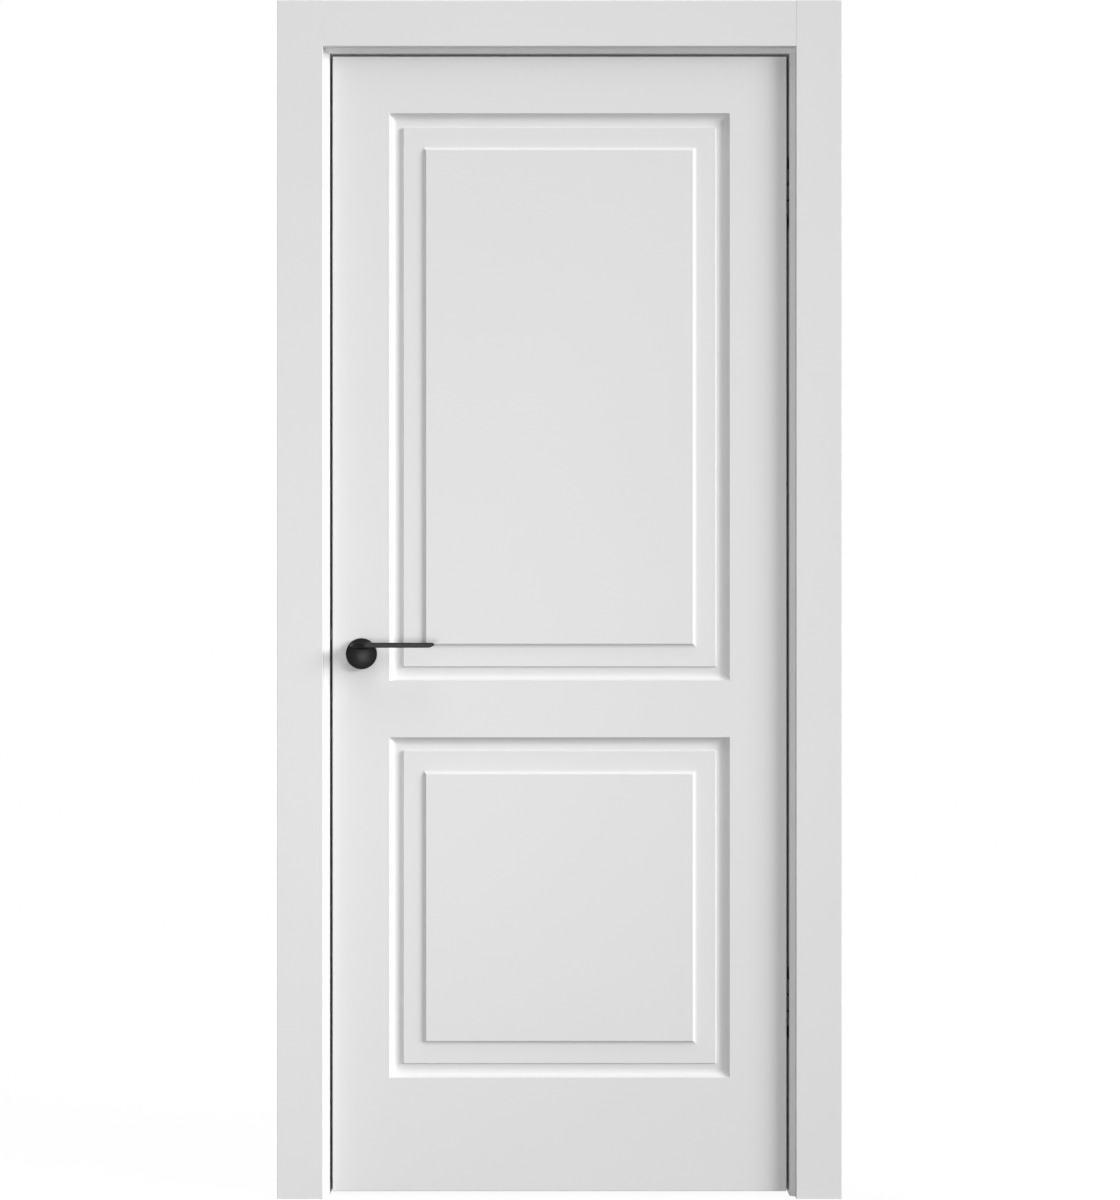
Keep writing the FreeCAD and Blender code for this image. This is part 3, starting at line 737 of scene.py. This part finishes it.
def screw_shell(centre, inwards, sizes):
    """A raised countersunk head: a parabola of revolution less a cross whose walls are steep smooth steps.

    The cross is given in shares of the radius. The second array says how deep in it each point lies,
    from 0 to 1.
    """
    rings = 18
    points_round = 48
    first_ring = 0.03
    arm_half_width = 0.12
    arm_reach = 0.58
    wall_width = 0.05
    rim_drop = 0.8
    cross_depth = 0.85
    spread = np.linspace(first_ring, 1.0, rings)[:, None]
    turn = np.linspace(0.0, FULL_TURN, points_round, endpoint=False)
    first = spread * np.cos(turn)
    second = spread * np.sin(turn)

    def within(value, edge):
        """1 inside the edge on both sides of the middle, and 0 outside it."""
        return np.clip((edge - np.abs(value)) / wall_width + 0.5, 0.0, 1.0)

    cross = np.maximum(within(first, arm_half_width) * within(second, arm_reach),
                       within(second, arm_half_width) * within(first, arm_reach))
    proud = sizes.rise * (1.0 - rim_drop * spread ** 2) * (1.0 - cross_depth * cross)
    skirt = np.full((1, points_round), -sizes.rise)
    first = np.concatenate([first, first[-1:]])
    second = np.concatenate([second, second[-1:]])
    proud = np.concatenate([proud, skirt])
    points = np.stack([centre[0] - inwards * proud, centre[1] + sizes.radius * first,
                       centre[2] + sizes.radius * second], axis=-1)
    ring_recess = np.concatenate([cross, np.zeros_like(skirt)]).ravel()
    head_middle, underside_middle = 1.0, 0.0
    return grid_shell(points), np.concatenate([ring_recess, [head_middle, underside_middle]])


def add_screws(name, node, body, inwards, material, sizes):
    """A screw near both ends of a plate's outer face.

    The number inwards is 1 where the plate is let in towards +X, and -1 where it is towards -X.
    """
    low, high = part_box(node)
    face_x = low[0] if inwards > 0.0 else high[0]
    middle_y = (low[1] + high[1]) / 2.0
    made = [screw_shell((face_x, middle_y, height), inwards, sizes)
            for height in (low[2] + sizes.from_end, high[2] - sizes.from_end)]
    recess = np.concatenate([deep for _, deep in made])
    add_piece(name, [shell for shell, _ in made], body, material, recess=recess)


# Studio

def seen_directly(graph):
    """1 where the camera looks, straight or by way of a shiny or clear surface, and 0 for other light."""
    straight, glossy, clear = (
        graph.node("ShaderNodeLightPath", {}, {}, kind)
        for kind in ("Is Camera Ray", "Is Glossy Ray", "Is Transmission Ray")
    )
    return (straight + glossy + clear) > 0.5


def floor_material(name, colour, seen_colour, shade_kept):
    """A pale floor that the camera sees as nearly plain white and that keeps a faint shadow."""
    graph = Graph(name)
    seen = seen_directly(graph)
    shade = graph.mix_colour(seen, rgba(colour), rgba(seen_colour))
    diffuse = graph.node("ShaderNodeBsdfDiffuse", {}, {"Color": shade})
    white = graph.node("ShaderNodeEmission", {}, {"Color": WHITE, "Strength": 1.0})
    return graph.finish("ShaderNodeMixShader", {0: seen * (1.0 - shade_kept), 1: diffuse, 2: white})


def make_floor(sizes):
    """A wide flat square at the foot of the jambs."""
    reach = sizes.floor_reach
    corners = [(-reach, -reach, 0.0), (reach, -reach, 0.0), (reach, reach, 0.0), (-reach, reach, 0.0)]
    mesh = bpy.data.meshes.new("studio_floor")
    mesh.from_pydata(corners, [], [(0, 1, 2, 3)])
    floor = bpy.data.objects.new("studio_floor", mesh)
    bpy.context.scene.collection.objects.link(floor)
    mesh.materials.append(
        floor_material("studio_floor_pale", sizes.floor_colour, sizes.floor_seen, sizes.floor_shade))


def make_sky(scene, strength):
    """An even white surround that lights the door and shows as plain white."""
    world = bpy.data.worlds.new("studio_sky")
    scene.world = world
    graph = Graph(world)
    level = seen_directly(graph) * (1.0 - strength) + strength
    background = graph.node("ShaderNodeBackground", {}, {"Color": WHITE, "Strength": level})
    graph.node("ShaderNodeOutputWorld", {}, {"Surface": background})


def make_sun(scene, name, strength, angle, direction):
    """One far, soft light that comes from the given direction."""
    lamp = bpy.data.lights.new(name, "SUN")
    lamp.energy = strength
    lamp.angle = angle
    sun = bpy.data.objects.new(name, lamp)
    sun.rotation_euler = Vector(direction).to_track_quat("Z", "Y").to_euler()
    scene.collection.objects.link(sun)


def make_lamp(scene, name, strength, width, place):
    """A round lamp square to the door, which the camera looks through."""
    lamp = bpy.data.lights.new(name, "AREA")
    lamp.shape = "DISK"
    lamp.size = width
    lamp.energy = strength
    disc = bpy.data.objects.new(name, lamp)
    disc.location = place
    disc.rotation_euler = Vector((0.0, place.y, 0.0)).to_track_quat("Z", "Y").to_euler()
    disc.visible_camera = False
    scene.collection.objects.link(disc)


def make_camera(scene, sizes, centre_x, casing_face):
    """A level camera square to the door, framed as the picture is."""
    lens = bpy.data.cameras.new("door_camera")
    lens.sensor_width = SENSOR_MILLIMETRES
    focal_pixels = sizes.pixels_per_metre * sizes.camera_distance
    lens.lens = focal_pixels / PICTURE_HEIGHT * lens.sensor_width
    camera = bpy.data.objects.new("door_camera", lens)
    camera.location = (centre_x + sizes.camera_shift, casing_face - sizes.camera_distance,
                       sizes.camera_height)
    camera.rotation_euler = (QUARTER_TURN, 0.0, 0.0)
    scene.collection.objects.link(camera)
    scene.camera = camera


# Steps

class DOOR_OT_finishes(bpy.types.Operator):
    """Give every CAD node its finished material"""
    bl_idname = "door.finishes"
    bl_label = "Finish the door's surfaces"

    def execute(self, context):
        looks = context.scene.door_finish
        dress(WHITE_NODES, enamel_material("white_enamel_sprayed", looks.enamel, looks.enamel_roughness))
        dress(HANDLE_NODES, coat_material("black_powder_coat", looks.black, looks.black_roughness))
        dress(HINGE_NODES, coat_material("graphite_hinge_coat", looks.graphite, looks.graphite_roughness))
        dress(SEAL_NODES, seal_material("dark_seal", looks.seal, looks.seal_roughness))
        dress(BOARD_NODES, board_material("bare_board", looks.board, looks.board_roughness,
                                          looks.enamel, looks.enamel_roughness))
        known = set(WHITE_NODES + HANDLE_NODES + HINGE_NODES + SEAL_NODES + BOARD_NODES)
        steel_nodes = [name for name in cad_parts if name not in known]
        dress(steel_nodes, steel_material("satin_steel_brushed", looks.steel, looks.steel_roughness))
        return {"FINISHED"}


class DOOR_OT_handles(bpy.types.Operator):
    """Smooth hubs and levers on both faces of the leaf"""
    bl_idname = "door.handles"
    bl_label = "Make the lever handles"

    def execute(self, context):
        sizes = context.scene.door_handle
        looks = context.scene.door_finish
        coat = coat_material("black_powder_coat_handle", looks.black, looks.black_roughness)
        for face in ("front", "back"):
            add_piece(face + "_hub_domed", [hub_shell(sizes, face)], "handle", coat,
                      [face + "_lever_hub"])
            add_piece(face + "_lever_rounded", [lever_shell(sizes, face), flare_shell(sizes, face)], "handle",
                      coat, [face + "_lever"])
        return {"FINISHED"}


class DOOR_OT_screws(bpy.types.Operator):
    """Cross-headed screws in the latch plates and hinge bodies"""
    bl_idname = "door.screws"
    bl_label = "Put in the screws"

    def execute(self, context):
        sizes = context.scene.door_screws
        looks = context.scene.door_finish
        steel = screw_material("screw_steel", looks.steel, looks.plate_screw_roughness)
        dark = screw_material("screw_graphite", looks.graphite, looks.hinge_screw_roughness)
        add_screws("faceplate_screws", "latch_faceplate", "leaf", 1.0, steel, sizes)
        add_screws("strike_plate_screws", "strike_plate", "frame", -1.0, steel, sizes)
        for place in ("upper", "lower"):
            add_screws(place + "_jamb_hinge_screws", place + "_hinge_jamb_body", "frame", 1.0,
                       dark, sizes)
            add_screws(place + "_leaf_hinge_screws", place + "_hinge_leaf_body", "leaf", -1.0,
                       dark, sizes)
        return {"FINISHED"}


class DOOR_OT_studio(bpy.types.Operator):
    """Set up the floor, the lights and the camera"""
    bl_idname = "door.studio"
    bl_label = "Set up the studio"

    def execute(self, context):
        sizes = context.scene.door_studio
        scene = context.scene
        scene.view_settings.view_transform = "Standard"
        centre_x = (CAD_BOX[0][0] + CAD_BOX[1][0]) / 2.0
        casing_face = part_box("front_casing_head")[0][1]
        make_floor(sizes)
        make_sky(scene, sizes.sky_strength)
        make_sun(scene, "key_light", sizes.key_strength, sizes.key_angle, sizes.key_direction)
        make_sun(scene, "rear_light", sizes.rear_strength, sizes.key_angle, sizes.rear_direction)
        make_sun(scene, "top_light", sizes.top_strength, sizes.top_angle, sizes.top_direction)
        foot = Vector((centre_x, casing_face, 0.0))
        make_lamp(scene, "front_light", sizes.front_strength, sizes.front_light_width,
                  foot + Vector(sizes.front_light_place))
        make_lamp(scene, "low_light", sizes.low_strength, sizes.low_light_width,
                  foot + Vector(sizes.low_light_place))
        make_lamp(scene, "back_light", sizes.back_strength, sizes.back_light_width,
                  foot + Vector(sizes.back_light_place))
        make_camera(scene, sizes, centre_x, casing_face)
        return {"FINISHED"}


GROUPS = {
    "door_finish": DoorFinish,
    "door_handle": HandleSizes,
    "door_screws": ScrewSizes,
    "door_studio": StudioSizes,
}
OPERATORS = [DOOR_OT_finishes, DOOR_OT_handles, DOOR_OT_screws, DOOR_OT_studio]


class DOOR_PT_panel(bpy.types.Panel):
    """The door's steps and sizes"""
    bl_idname = "DOOR_PT_panel"
    bl_label = "Door"
    bl_space_type = "VIEW_3D"
    bl_region_type = "UI"
    bl_category = "Door"

    def draw(self, context):
        column = self.layout.column()
        for group_name, group in GROUPS.items():
            for name in group.__annotations__:
                column.prop(getattr(context.scene, group_name), name)
        for operator in OPERATORS:
            column.operator(operator.bl_idname)


CLASSES = [*GROUPS.values(), *OPERATORS, DOOR_PT_panel]


def register():
    """Add the classes, and one group of settings of each kind to the scene."""
    for entry in CLASSES:
        bpy.utils.register_class(entry)
    for group_name, group in GROUPS.items():
        setattr(bpy.types.Scene, group_name, PointerProperty(type=group))


def unregister():
    """Take away what register adds."""
    for group_name in GROUPS:
        delattr(bpy.types.Scene, group_name)
    for entry in reversed(CLASSES):
        bpy.utils.unregister_class(entry)


def main():
    """Make the door's looks."""
    register()
    bpy.ops.door.finishes()
    bpy.ops.door.handles()
    bpy.ops.door.screws()
    bpy.ops.door.studio()


if __name__ == "__main__":
    main()
